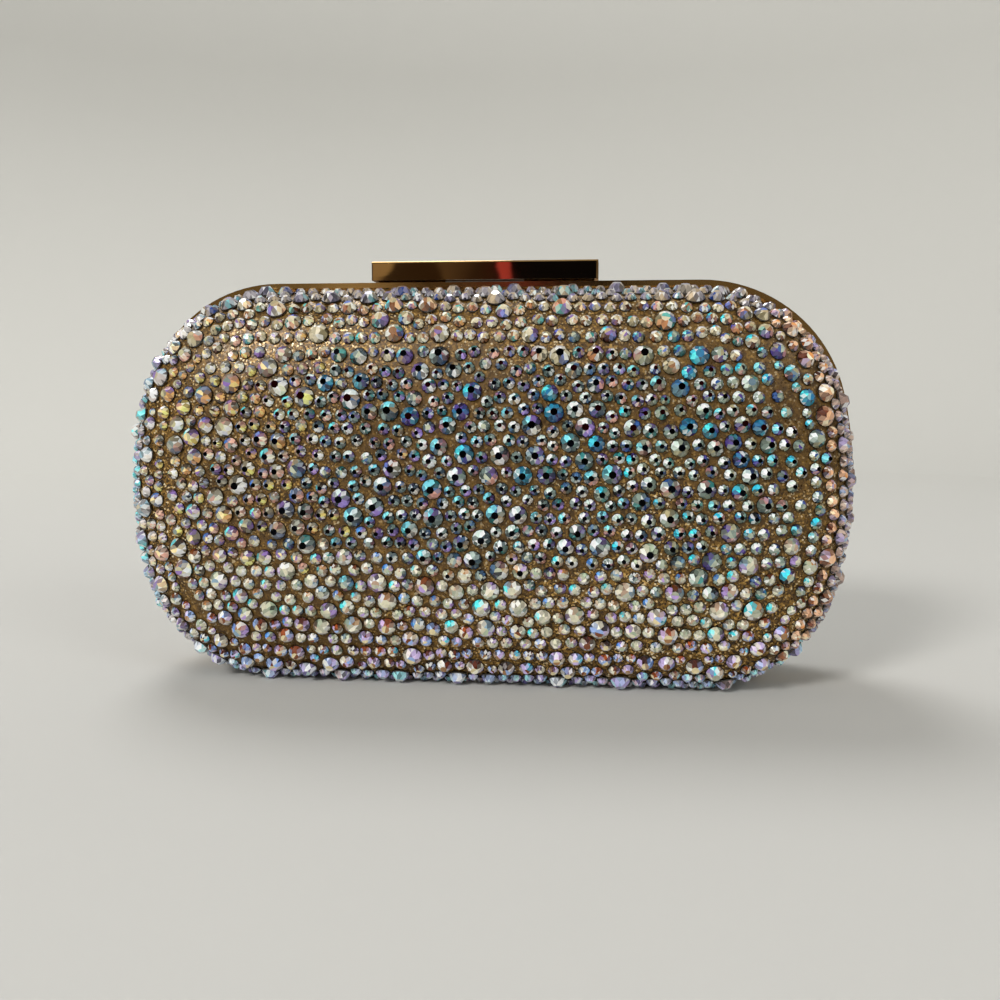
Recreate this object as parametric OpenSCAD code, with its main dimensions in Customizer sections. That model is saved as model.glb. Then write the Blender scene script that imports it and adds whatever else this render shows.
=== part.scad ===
// Hard-shell evening clutch (minaudiere): two domed shells in metal rims, hinged along the
// bottom and closed by a press bar on top, with flat-back crystals glued over the fabric.
// X runs along the width, Y through the depth with the front at -Y, Z up from the base.

/* [Case] */
// Width over the metal rims
case_w = 166; // [150:1:190]
// Height over the metal rims
case_h = 91; // [88:1:106]
// Depth from the parting plane to the fabric at the middle of a face
face_depth = 21.3; // [19:0.1:25]
// Radius of the four corners, over the rims
corner_r = 33; // [30:0.5:38]
// Radius of the two bowed short sides, over the rims
side_r = 84; // [76:1:110]
// Radius of the rounded edge between face and wall
edge_r = 9; // [7:0.1:10]
// Slope of the face where it meets the rounded edge, in degrees
shoulder_tilt = 20; // [14:1:26]
// Slope of the side walls in degrees: the base wall is upright and the top leans twice as much
wall_draft = 8; // [3:0.5:10]

/* [Layers] */
// Thickness of the glitter fabric
cover_t = 0.8; // [0.5:0.1:1.2]
// Thickness of the moulded shell
shell_t = 1.8; // [1.4:0.1:2]
// Thickness of the stiff insert behind the lining
board_t = 0.8; // [0.6:0.1:1]
// Thickness of the satin lining
lining_t = 0.6; // [0.4:0.1:0.8]
// Glue line between two layers, and under a crystal
glue_gap = 0.05; // [0.03:0.01:0.08]

/* [Rims] */
// Depth of one rim, seen on the outside
rim_depth = 3.5; // [3:0.1:4.5]
// Thickness of a rim's outer band
rim_band_t = 1.2; // [1:0.05:1.25]
// Thickness of a rim's inward flange
flange_t = 1.5; // [1.2:0.1:1.8]
// Width of a rim's inward flange, from the outside
flange_w = 7; // [6.8:0.1:8.5]
// Gap between the two rims when shut
parting_gap = 0.2; // [0.1:0.05:0.3]

/* [Hinges] */
// Distance of each hinge from the middle
hinge_x = 34; // [20:1:36]
// Outer radius of a hinge knuckle
knuckle_r = 1.45; // [1.3:0.05:1.5]
// Radius of a hinge pin
hinge_pin_r = 0.8; // [0.6:0.05:0.9]
// Height of the hinge axis above the base
hinge_axis_z = 1.65; // [1.6:0.05:2]
// Length of an outer knuckle
outer_knuckle_l = 4; // [3:0.1:5]
// Length of the middle knuckle
middle_knuckle_l = 5.4; // [4:0.1:7]
// How far the front half opens, in degrees
open_angle = 95; // [80:1:100]

/* [Clasp] */
// Length of the press bar
bar_l = 51.6; // [46:0.1:60]
// Depth of the press bar
bar_d = 10.4; // [10:0.1:12]
// Height of the press bar
bar_h = 4.2; // [4:0.1:5]
// Wall thickness of the press bar
bar_wall = 0.9; // [0.7:0.05:1]
// Gap between the bar and the rims under it
bar_gap = 0.35; // [0.3:0.05:0.5]
// Radius of the bar's pivot pin
bar_pin_r = 0.8; // [0.6:0.05:0.85]
// Distance of each pivot lug from the middle
lug_x = 17; // [14:0.5:19]
// Width of the spring under the bar
spring_w = 10; // [6:0.5:12]

/* [Crystals] */
// Diameter of a large crystal
large_d = 4.7; // [4.4:0.05:4.9]
// Diameter of a medium crystal
medium_d = 3.9; // [3.6:0.05:4.1]
// Diameter of a small crystal
small_d = 2.8; // [2.5:0.05:3]
// Mean distance between crystals on a face
crystal_pitch = 3.6; // [3.55:0.05:4.2]
// Mean distance between crystals of the rows that follow the rims
row_pitch = 3.35; // [3.3:0.05:3.8]
// Least gap between two crystals
crystal_gap = 0.15; // [0.1:0.05:0.3]
// Height of a crystal as a share of its diameter
crystal_height_share = 0.41; // [0.36:0.01:0.44]
// Width of a crystal's flat top as a share of its diameter
crystal_top_share = 0.42; // [0.36:0.01:0.5]

/* [Hidden] */
$fn = 32;

// One overrun serves every cut
cut = 1;
// Radial gap of a pin that turns, and of a pin or rivet that is held fast
running_gap = 0.05;
held_gap = 0.02;

// A small crystal on the base wall is flush with the rims, so the case stands on both
rim_proud = glue_gap + small_d * crystal_height_share;

// Centres of the arcs that make the outline, measured from the middle of the case
side_x = case_w / 2 - side_r;
corner_z = case_h / 2 - corner_r;
corner_x = side_x + sqrt(pow(side_r - corner_r, 2) - pow(corner_z, 2));
join_a = atan2(corner_z, corner_x - side_x);
corner_steps = 7;
side_steps = 2;
// The rims, which show as bare metal, have this many times the steps
rim_fineness = 3;

// The crown of a face stops just short of the corner's centre, so no edge has zero length
crown_stop = 1;
crown_end = corner_r - crown_stop;
half_gap = parting_gap / 2;
// The layers start just behind the rim's flange
layer_base = half_gap + flange_t + glue_gap;
edge_steps = 5;
crown_steps = 3;

// Depths of the layers behind the fabric's outer face
shell_out = cover_t + glue_gap;
board_out = shell_out + shell_t + glue_gap;
lining_out = board_out + board_t + glue_gap;

// Profile of a half, as [inset from the outline, depth from the parting plane]:
// a straight wall, the rounded edge, then a shallow crown that ends level
lean = tan(wall_draft);
top_tilt = 90 - shoulder_tilt;
crown_rise_share = (1 - sin(top_tilt)) / cos(top_tilt);
edge_run = edge_r * (cos(wall_draft) - cos(top_tilt));
edge_rise = edge_r * (sin(top_tilt) - sin(wall_draft));
wall_end = (face_depth - edge_rise - (crown_end - rim_proud - edge_run) * crown_rise_share)
    / (1 - crown_rise_share * lean);
edge_centre = [
    rim_proud + wall_end * lean + edge_r * cos(wall_draft),
    wall_end - edge_r * sin(wall_draft)
];
shoulder = edge_centre + edge_r * [-cos(top_tilt), sin(top_tilt)];
crown_r = (crown_end - shoulder[0]) / cos(top_tilt);
crown_centre = shoulder + crown_r * [cos(top_tilt), -sin(top_tilt)];
wall_l = wall_end / cos(wall_draft);
edge_l = edge_r * (top_tilt - wall_draft) * PI / 180;

// Hinge: the rims are bevelled below the axis, so that they clear each other when open
knuckle_gap = 0.2;
knuckle_clear = 0.25;
bevel_spare_a = 3;
bevel_a = open_angle / 2 + bevel_spare_a;
apex_r = 0.6;
hinge_half_l = middle_knuckle_l / 2 + knuckle_gap + outer_knuckle_l;
groove_depth = hinge_axis_z + cut;

// Clasp: a plate on the back rim carries two lugs, and the bar's pin turns in them
plate_t = 0.8;
plate_inset = 0.4;
plate_spare = 6;
plate_half_l = lug_x + plate_spare;
lug_t = 1.6;
lug_r = 1.1;
pivot_y = rim_depth - bar_gap - lug_r;
bar_base_z = case_h + bar_gap;
bar_round_r = 0.45;
bar_end_r = 0.45;
pivot_z = bar_base_z + bar_h - bar_wall - bar_gap - lug_r;
pin_seat = bar_wall / 2;
rivet_r = 0.6;
rivet_head_r = 0.9;
rivet_head_t = 0.25;
rivet_y = rim_depth - plate_inset - rivet_head_r;
rivet_spare = 3.4;
clasp_rivet_x = lug_x + rivet_spare;
strike_t = bar_gap - 2 * running_gap;
strike_half_l = 9;
strike_rivet_x = 6;
spring_t = 0.25;

// Crystals: rows follow the rims, and a loose pattern fills each face
row_count = 6;
row_margin = 0.25;
rows_start = rim_depth + row_margin;
rows_end = rows_start + row_count * row_pitch;
// Shares of the crystals that are large, and large or medium
large_share = 0.13;
upper_share = 0.27;
// Every fourth crystal of the row next to the rims carries the case where it stands
base_step = 4;
base_half_l = corner_x - small_d;
// Larger crystals keep away from places where they would come this near to the table
table_margin = 0.6;
loose_share = 0.24;
edge_keep_share = 0.16;
settle_passes = 15;
reach = 2;
back_seed = 41;
front_seed = 7;
columns = ceil(case_w / 2 / crystal_pitch);
// Distances round the case are measured on the outline at the middle of the rows
round_inset = profile_at((rows_start + rows_end) / 2)[0];
round_l = 4 * quarter_l(round_inset);
row_cells = round(round_l / row_pitch);
// Lines of the loose pattern are spaced so that the outer ones run level with the rows
face_inset = profile_at(rows_end)[0];
face_half_h = case_h / 2 - face_inset - row_pitch / 2;
lines = round(face_half_h / crystal_pitch / cos(30));
line_pitch = face_half_h / lines;

gold = "#c79a4a";
steel = "#b9b9bb";

// Points on an arc
function spot(x, z, r, a) = [x + r * cos(a), z + r * sin(a)];

// A quarter of the outline, from the top to the middle of the right side
function quarter(inset, fineness) = let (
    corner = corner_steps * fineness,
    side = side_steps * fineness
) concat(
    [for (i = [0:corner])
        spot(corner_x, corner_z, corner_r - inset, 90 - i * (90 - join_a) / corner)],
    [for (i = [1:side]) spot(side_x, 0, side_r - inset, join_a - i * join_a / side)]
);

// The whole outline, clockwise from the top right, about the middle of the case
function right_half(inset, fineness) = let (q = quarter(inset, fineness), last = len(q) - 1)
    concat(q, [for (i = [1:last]) [q[last - i][0], -q[last - i][1]]]);
function outline(inset, fineness = 1) =
    concat(right_half(inset, fineness), -right_half(inset, fineness));

// The profile of a surface that lies t behind the fabric's outer face
function profile(t) = concat(
    [[rim_proud + layer_base * lean + t / cos(wall_draft), layer_base]],
    [for (i = [0:edge_steps])
        let (a = wall_draft + i * (top_tilt - wall_draft) / edge_steps)
        edge_centre + (edge_r - t) * [-cos(a), sin(a)]],
    [for (i = [1:crown_steps])
        let (a = top_tilt + i * shoulder_tilt / crown_steps)
        crown_centre + (crown_r - t) * [-cos(a), sin(a)]]
);

// One ring of a skin: deeper rings lean down, so the base wall stands upright
function ring(step) = [for (p = outline(step[0]))
    [p[0], step[1], p[1] + case_h / 2 - lean * step[1]]];
function skin(t) = [for (step = profile(t)) each ring(step)];

// A moulded layer between two depths behind the fabric's outer face
module layer(from_t, to_t) {
    outer = skin(from_t);
    inner = skin(to_t);
    n = len(outline(0));
    rings = len(profile(0));
    total = n * rings;
    polyhedron(
        points = concat(outer, inner),
        faces = concat(
            [for (r = [0:rings - 2], i = [0:n - 1]) let (j = (i + 1) % n)
                [r * n + i, r * n + n + i, r * n + n + j, r * n + j]],
            [for (r = [0:rings - 2], i = [0:n - 1]) let (j = (i + 1) % n, b = total + r * n)
                [b + i, b + j, b + n + j, b + n + i]],
            [for (i = [0:n - 1]) let (j = (i + 1) % n) [i, j, total + j, total + i]],
            [[for (i = [0:n - 1]) total - 1 - i]],
            [[for (i = [0:n - 1]) 2 * total - n + i]]
        ),
        convexity = 4
    );
}

// A flat ring between two insets, from one depth to another
module band(from_inset, to_inset, from_y, to_y) {
    translate([0, 0, case_h / 2])
        rotate([90, 0, 0])
            translate([0, 0, -to_y])
                linear_extrude(to_y - from_y)
                    difference() {
                        polygon(outline(from_inset, rim_fineness));
                        polygon(outline(to_inset, rim_fineness));
                    }
}

// A shape drawn across the depth and run along X, centred
module along_x(length) {
    rotate([90, 0, 90])
        translate([0, 0, -length / 2])
            linear_extrude(length)
                children();
}

// A rod on the hinge axis
module hinge_rod(r, length) {
    translate([0, 0, hinge_axis_z])
        rotate([0, 90, 0])
            cylinder(r = r, h = length, center = true);
}

module each_hinge() {
    for (x = [-hinge_x, hinge_x])
        translate([x, 0, 0])
            children();
}

module each_outer_knuckle() {
    for (side = [-1, 1])
        translate([side * (hinge_half_l - outer_knuckle_l / 2), 0, 0])
            children();
}

// A rim without its knuckles: outer band, inward flange, and the bevel along the hinge
module rim_blank() {
    difference() {
        union() {
            band(0, rim_band_t, half_gap, rim_depth);
            band(0, flange_w, half_gap, half_gap + flange_t);
        }
        along_x(case_w)
            polygon([
                [0, hinge_axis_z],
                [groove_depth * tan(bevel_a), hinge_axis_z - groove_depth],
                [-groove_depth * tan(bevel_a), hinge_axis_z - groove_depth]
            ]);
        hinge_rod(apex_r, case_w);
    }
}

module rivet_holes(x, y) {
    for (side = [-1, 1])
        translate([side * x, y, case_h - rim_band_t - cut])
            cylinder(r = rivet_r + held_gap, h = rim_band_t + 2 * cut);
}

// Rivets through a plate of the given thickness and the rim's band under it
module rivets(x, y, under_t) {
    for (side = [-1, 1])
        translate([side * x, y, case_h - rim_band_t]) {
            cylinder(r = rivet_r, h = rim_band_t + under_t);
            translate([0, 0, rim_band_t + under_t])
                cylinder(r = rivet_head_r, h = rivet_head_t);
        }
}

module back_rim() {
    color(gold)
        difference() {
            union() {
                difference() {
                    rim_blank();
                    each_hinge()
                        hinge_rod(knuckle_r + knuckle_clear, middle_knuckle_l + 2 * knuckle_gap);
                }
                each_hinge()
                    each_outer_knuckle()
                        hinge_rod(knuckle_r, outer_knuckle_l);
            }
            each_hinge()
                hinge_rod(hinge_pin_r + running_gap, 2 * hinge_half_l + cut);
            rivet_holes(clasp_rivet_x, rivet_y);
        }
}

module front_rim() {
    color(gold)
        difference() {
            union() {
                difference() {
                    mirror([0, 1, 0])
                        rim_blank();
                    each_hinge()
                        each_outer_knuckle()
                            hinge_rod(knuckle_r + knuckle_clear, outer_knuckle_l + 2 * knuckle_gap);
                }
                each_hinge()
                    hinge_rod(knuckle_r, middle_knuckle_l);
            }
            each_hinge()
                hinge_rod(hinge_pin_r + running_gap, middle_knuckle_l + cut);
            rivet_holes(strike_rivet_x, -rivet_y);
        }
}

module hinge_pins() {
    color(steel)
        each_hinge()
            hinge_rod(hinge_pin_r, 2 * hinge_half_l);
}

module back_shell() {
    color("#5d4c38")
        layer(shell_out, shell_out + shell_t);
}

module back_cover() {
    color("#a07a3c")
        layer(0, cover_t);
}

module back_board() {
    color("#8b7a62")
        layer(board_out, board_out + board_t);
}

module back_lining() {
    color("#d9bf8c")
        layer(lining_out, lining_out + lining_t);
}

module front_shell() {
    color("#5d4c38")
        mirror([0, 1, 0])
            layer(shell_out, shell_out + shell_t);
}

module front_cover() {
    color("#a07a3c")
        mirror([0, 1, 0])
            layer(0, cover_t);
}

module front_board() {
    color("#8b7a62")
        mirror([0, 1, 0])
            layer(board_out, board_out + board_t);
}

module front_lining() {
    color("#d9bf8c")
        mirror([0, 1, 0])
            layer(lining_out, lining_out + lining_t);
}

// A place on the fabric, as [position, normal], from a point of the outline's plane, the
// outward direction there, the depth, and the normal's tilt away from the wall's normal
function seat(p, out, depth, tilt) = let (
    position = [p[0], depth, p[1] + case_h / 2 - lean * depth],
    n = [cos(tilt) * out[0], sin(tilt) + lean * cos(tilt) * out[1], cos(tilt) * out[1]]
) [position, n / norm(n)];

// The profile at a distance along it from the parting plane, as [inset, depth, tilt]
function profile_at(s) =
    s <= wall_l ? [rim_proud + s * sin(wall_draft), s * cos(wall_draft), wall_draft]
    : s <= wall_l + edge_l ?
        let (a = wall_draft + (s - wall_l) / edge_r * 180 / PI)
        [edge_centre[0] - edge_r * cos(a), edge_centre[1] + edge_r * sin(a), a]
    : let (a = top_tilt + (s - wall_l - edge_l) / crown_r * 180 / PI)
        [crown_centre[0] - crown_r * cos(a), crown_centre[1] + crown_r * sin(a), a];

// Length of a quarter of an inset outline
function quarter_l(inset) =
    corner_x + ((corner_r - inset) * (90 - join_a) + (side_r - inset) * join_a) * PI / 180;

// The point of an inset outline beside the one at v on the middle of the rows, with its
// outward direction
function on_quarter(inset, v) = let (
    rc = corner_r - round_inset,
    rs = side_r - round_inset,
    bend = rc * (90 - join_a) * PI / 180
) v <= corner_x ? [[v, case_h / 2 - inset], [0, 1]]
    : v <= corner_x + bend ?
        let (a = 90 - (v - corner_x) / rc * 180 / PI)
        [spot(corner_x, corner_z, corner_r - inset, a), [cos(a), sin(a)]]
    : let (a = join_a - (v - corner_x - bend) / rs * 180 / PI)
        [spot(side_x, 0, side_r - inset, a), [cos(a), sin(a)]];
function flipped(q, sx, sz) = [for (v = q) [v[0] * sx, v[1] * sz]];
function on_outline(inset, u) = let (
    q = round_l / 4,
    k = floor(u / q),
    v = u - k * q,
    turn = (k % 4 + 4) % 4
) turn == 0 ? on_quarter(inset, v)
    : turn == 1 ? flipped(on_quarter(inset, q - v), 1, -1)
    : turn == 2 ? flipped(on_quarter(inset, v), -1, -1)
    : flipped(on_quarter(inset, q - v), -1, 1);

// Size classes: 0 large, 1 medium, 2 small, 3 small and carrying the case
function class_r(class) = class == 0 ? large_d / 2 : class == 1 ? medium_d / 2 : small_d / 2;
function class_of(draw) = draw < large_share ? 0 : draw < upper_share ? 1 : 2;

// Direction along the profile, away from the rims; the lean stretches or squeezes it
function inward(out, tilt) =
    [-sin(tilt) * out[0], cos(tilt), -sin(tilt) * out[1] - lean * cos(tilt)];

// A place of the rows, at u round the case and s along the profile, as [position, normal]
function row_seat(u, s) = let (at = profile_at(s), place = on_outline(at[0], u))
    seat(place[0], place[1], at[1], at[2]);

// Whether a large crystal in a place of the rows would come too near to the table
function low_place(u, s) = let (at = row_seat(u, s))
    at[0][2] + at[1][2] * (glue_gap + large_d * crystal_height_share) < table_margin;

// Distance along the profile, held between the rims and the loose pattern
function held_s(u, s, r) = let (
    at = profile_at(s),
    squeeze = min(1, norm(inward(on_outline(at[0], u)[1], at[2])))
) min(max(s, rows_start + r), rows_end - (r + crystal_gap / 2) / squeeze);

// The rows as a shaken grid, as [u, s, radius, class]
function row_grid(seed) = let (
    draws = rands(0, 1, 3 * row_count * row_cells, seed),
    cell = round_l / row_cells
) [for (j = [0:row_count - 1]) [for (i = [0:row_cells - 1]) let (
    k = 3 * (j * row_cells + i),
    u = (i + (j % 2) / 2) * cell,
    row_s = rows_start + (j + 1 / 2) * row_pitch,
    place = on_outline(round_inset, u),
    base = j == 0 && i % base_step == 0 && place[1][1] == -1 && abs(place[0][0]) < base_half_l,
    swing = 360 * draws[k],
    shake = base ? 0 : loose_share * row_pitch * sqrt(draws[k + 1]),
    class = base ? 3 : low_place(u, row_s) ? 2 : class_of(draws[k + 2]),
    r = class_r(class)
) [u + shake * cos(swing), held_s(u, base ? 0 : row_s + shake * sin(swing), r), r, class]]];

// The place of a neighbour in the grid of the rows, which closes on itself
function beside(i, step) = (i + step + row_cells) % row_cells;

// Row crystals that crowd each other move apart, a little with each pass
function rows_settled(grid, passes) = passes == 0 ? grid : let (
    seats = [for (line = grid) [for (own = line) row_seat(own[0], own[1])[0]]]
) rows_settled([for (j = [0:row_count - 1]) [for (i = [0:row_cells - 1]) let (
    own = grid[j][i],
    at = profile_at(own[1]),
    out = on_outline(at[0], own[0])[1],
    along = inward(out, at[2]),
    moves = own[3] == 3 ? [] : [for (dj = [-reach:reach], di = [-reach:reach]) let (
        other = dj == 0 && di == 0 ? undef : grid[j + dj][beside(i, di)]
    ) if (!is_undef(other)) let (
        away = seats[j][i] - seats[j + dj][beside(i, di)],
        short = own[2] + other[2] + crystal_gap - norm(away)
    ) if (short > 0) away / norm(away) * short / 2],
    move = total(concat([[0, 0, 0]], moves)),
    u = own[0] + move * [out[1], 0, -out[0]]
) own[3] == 3 ? own
    : [u, held_s(u, own[1] + move * along / (along * along), own[2]), own[2], own[3]]]],
    passes - 1);

// Crystals of the rows, as [position, normal, radius, class], each cut down where it would
// touch a neighbour; those that the case stands on stay whole
function row_crystals(seed) = let (
    grid = rows_settled(row_grid(seed), settle_passes),
    seats = [for (line = grid) [for (own = line) row_seat(own[0], own[1])]]
) [for (j = [0:row_count - 1], i = [0:row_cells - 1]) let (
    own = grid[j][i],
    limits = own[3] == 3 ? [] : [for (dj = [-reach:reach], di = [-reach:reach]) let (
        other = dj == 0 && di == 0 ? undef : grid[j + dj][beside(i, di)]
    ) if (!is_undef(other)) let (
        room = norm(seats[j][i][0] - seats[j + dj][beside(i, di)][0]) - crystal_gap / 2
    ) other[3] == 3 ? room - other[2] : room * own[2] / (own[2] + other[2])]
) [seats[j][i][0], seats[j][i][1], min(concat([own[2]], limits)), own[3]]];

// Inset of a point of the face and the outward direction there
function inset_of(p) = let (
    x = abs(p[0]),
    z = abs(p[1]),
    sx = p[0] < 0 ? -1 : 1,
    sz = p[1] < 0 ? -1 : 1,
    a = atan2(z - corner_z, x - corner_x),
    from_side = [x - side_x, z]
) x > corner_x && z > corner_z && a >= join_a ?
        [corner_r - norm([x - corner_x, z - corner_z]), [sx * cos(a), sz * sin(a)]]
    : case_h / 2 - z < side_r - norm(from_side) ? [case_h / 2 - z, [0, sz]]
    : [side_r - norm(from_side), [sx * from_side[0], sz * z] / norm(from_side)];

// A point of the face moved in, where it must be, so that its crystal clears the last row
function kept_in(p, r) = let (at = inset_of(p), short = face_inset + r + crystal_gap / 2 - at[0])
    short > 0 ? p - short * at[1] : p;

function total(list) = [for (v = list) 1] * list;

// Crystals that crowd each other move apart, a little with each pass
function settled(grid, passes) = passes == 0 ? grid : settled([
    for (j = [0:len(grid) - 1]) [for (i = [0:len(grid[j]) - 1]) let (own = grid[j][i])
        is_undef(own) ? undef : let (
            moves = [for (dj = [-reach:reach], di = [-reach:reach]) let (
                other = dj == 0 && di == 0 ? undef : grid[j + dj][i + di]
            ) if (!is_undef(other)) let (
                away = own[0] - other[0],
                short = own[1] + other[1] + crystal_gap - norm(away)
            ) if (short > 0) away / norm(away) * short / 2]
        ) [kept_in(own[0] + total(concat([[0, 0]], moves)), own[1]), own[1], own[2]]]
], passes - 1);

// The loose pattern on a face: a shaken triangular grid, as [point, radius, class] or undef
function face_grid(seed) = let (
    wide = 2 * columns + 1,
    draws = rands(0, 1, 3 * wide * (2 * lines + 1), seed)
) settled([for (j = [-lines:lines]) [for (i = [-columns:columns]) let (
    k = 3 * ((j + lines) * wide + i + columns),
    p = [(i + (abs(j) % 2) / 2) * crystal_pitch, j * line_pitch],
    swing = 360 * draws[k],
    shaken = p + crystal_pitch * loose_share * sqrt(draws[k + 1]) * [cos(swing), sin(swing)],
    class = class_of(draws[k + 2]),
    r = class_r(class)
) inset_of(p)[0] < face_inset + edge_keep_share * crystal_pitch ? undef
    : [kept_in(shaken, r), r, class]]], settle_passes);

// A point of the face seated on the crown or on the level middle
function face_seat(p) = let (at = inset_of(p))
    at[0] >= crown_end ? seat(p, at[1], face_depth, 90)
    : let (a = acos((crown_centre[0] - at[0]) / crown_r))
        seat(p, at[1], crown_centre[1] + crown_r * sin(a), a);

// Crystals of a face, each cut down where it would touch a neighbour
function face_crystals(seed) = let (
    grid = face_grid(seed),
    seats = [for (line = grid) [for (own = line) is_undef(own) ? undef : face_seat(own[0])]]
) [for (j = [0:len(grid) - 1], i = [0:len(grid[j]) - 1]) let (own = grid[j][i])
    if (!is_undef(own)) let (
        limits = [for (dj = [-reach:reach], di = [-reach:reach]) let (
            other = dj == 0 && di == 0 ? undef : grid[j + dj][i + di]
        ) if (!is_undef(other))
            (norm(seats[j][i][0] - seats[j + dj][i + di][0]) - crystal_gap / 2)
            * own[1] / (own[1] + other[1])]
    ) [seats[j][i][0], seats[j][i][1], min(concat([own[1]], limits)), own[2]]];

// All crystals of one size on one half; side is -1 at the front and 1 at the back
module crystals(side, class, seed) {
    all = concat(row_crystals(seed), face_crystals(seed));
    color("#c9d6dc")
        for (c = all)
            if (c[3] == class)
                translate([c[0][0], side * c[0][1], c[0][2]])
                    rotate([0, acos(c[1][2]), atan2(side * c[1][1], c[1][0])])
                        translate([0, 0, glue_gap])
                            cylinder(
                                r1 = c[2],
                                r2 = c[2] * crystal_top_share,
                                h = 2 * c[2] * crystal_height_share
                            );
}

module back_crystals_large() {
    crystals(1, 0, back_seed);
}

module back_crystals_medium() {
    crystals(1, 1, back_seed);
}

module back_crystals_small() {
    crystals(1, 2, back_seed);
}

module back_crystals_base() {
    crystals(1, 3, back_seed);
}

module front_crystals_large() {
    crystals(-1, 0, front_seed);
}

module front_crystals_medium() {
    crystals(-1, 1, front_seed);
}

module front_crystals_small() {
    crystals(-1, 2, front_seed);
}

module front_crystals_base() {
    crystals(-1, 3, front_seed);
}

// Plate on the back rim with two lugs that carry the bar's pin
module clasp_plate() {
    color(gold)
        difference() {
            union() {
                translate([-plate_half_l, half_gap + plate_inset, case_h])
                    cube([2 * plate_half_l, rim_depth - half_gap - 2 * plate_inset, plate_t]);
                for (side = [-1, 1])
                    translate([side * lug_x, 0, 0])
                        along_x(lug_t)
                            polygon(concat(
                                [[pivot_y - lug_r, case_h + plate_t / 2]],
                                [for (i = [0:8]) spot(pivot_y, pivot_z, lug_r, 180 - i * 22.5)],
                                [[pivot_y + lug_r, case_h + plate_t / 2]]
                            ));
            }
            translate([0, pivot_y, pivot_z])
                rotate([0, 90, 0])
                    cylinder(r = bar_pin_r + running_gap, h = 2 * plate_half_l, center = true);
            for (side = [-1, 1])
                translate([side * clasp_rivet_x, rivet_y, case_h - cut])
                    cylinder(r = rivet_r + held_gap, h = plate_t + 2 * cut);
        }
}

module clasp_rivets() {
    color(gold)
        rivets(clasp_rivet_x, rivet_y, plate_t);
}

// Flush wear plate on the front rim, under the bar's front wall
module strike_plate() {
    color(steel)
        difference() {
            translate([-strike_half_l, -rim_depth + plate_inset, case_h])
                cube([2 * strike_half_l, rim_depth - half_gap - 2 * plate_inset, strike_t]);
            rivet_holes(strike_rivet_x, -rivet_y);
        }
}

module strike_rivets() {
    color(steel)
        for (side = [-1, 1])
            translate([side * strike_rivet_x, -rivet_y, case_h - rim_band_t])
                cylinder(r = rivet_r, h = rim_band_t + strike_t);
}

// Leaf spring from the plate up to the bar's roof, behind the pin
module clasp_spring() {
    foot_y = half_gap + plate_inset + spring_t;
    heel_y = pivot_y + lug_r / 2;
    tip_y = bar_d / 2 - bar_wall - 2 * spring_t;
    foot_z = case_h + plate_t + held_gap;
    tip_z = bar_base_z + bar_h - bar_wall - 2 * running_gap;
    color(steel)
        along_x(spring_w)
            polygon([
                [foot_y, foot_z],
                [heel_y + spring_t, foot_z],
                [tip_y + spring_t, tip_z],
                [tip_y, tip_z],
                [heel_y, foot_z + spring_t],
                [foot_y, foot_z + spring_t]
            ]);
}

// Section of the bar, square below and rounded along its two top edges
function bar_section(half_d, low_z, high_z, r) = concat(
    [[-half_d, low_z]],
    [for (i = [0:4]) spot(r - half_d, high_z - r, r, 180 - i * 22.5)],
    [for (i = [0:4]) spot(half_d - r, high_z - r, r, 90 - i * 22.5)],
    [[half_d, low_z]]
);

module clasp_bar() {
    top_z = bar_base_z + bar_h;
    inner_r = bar_round_r / 2;
    color(gold)
        difference() {
            intersection() {
                along_x(bar_l)
                    polygon(bar_section(bar_d / 2, bar_base_z, top_z, bar_round_r));
                translate([0, 0, bar_base_z - cut])
                    linear_extrude(bar_h + 2 * cut)
                        polygon([for (k = [0:3], i = [0:4]) let (
                            sx = k == 0 || k == 3 ? 1 : -1,
                            sy = k < 2 ? 1 : -1
                        ) spot(
                            sx * (bar_l / 2 - bar_end_r),
                            sy * (bar_d / 2 - bar_end_r),
                            bar_end_r,
                            90 * k + i * 22.5
                        )]);
            }
            along_x(bar_l - 2 * bar_wall)
                polygon(bar_section(
                    bar_d / 2 - bar_wall, bar_base_z - cut, top_z - bar_wall, inner_r));
            translate([0, pivot_y, pivot_z])
                rotate([0, 90, 0])
                    cylinder(r = bar_pin_r + held_gap, h = bar_l - 2 * pin_seat, center = true);
        }
}

module clasp_pin() {
    color(steel)
        translate([0, pivot_y, pivot_z])
            rotate([0, 90, 0])
                cylinder(r = bar_pin_r, h = bar_l - 2 * pin_seat - 2 * held_gap, center = true);
}

back_rim();
back_shell();
back_cover();
back_board();
back_lining();
back_crystals_large();
back_crystals_medium();
back_crystals_small();
back_crystals_base();
front_rim();
front_shell();
front_cover();
front_board();
front_lining();
front_crystals_large();
front_crystals_medium();
front_crystals_small();
front_crystals_base();
hinge_pins();
clasp_plate();
clasp_rivets();
strike_plate();
strike_rivets();
clasp_spring();
clasp_bar();
clasp_pin();
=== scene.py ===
"""Looks of the crystal box clutch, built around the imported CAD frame.

The crystals, the glitter fabric, the satin linings and the leaf spring get pieces of their own.
The rest of the metal, the shells and the boards keep their CAD meshes and get procedural
materials.
"""

import math

import bmesh
import bpy
import numpy as np
from mathutils import Matrix, Vector


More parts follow.
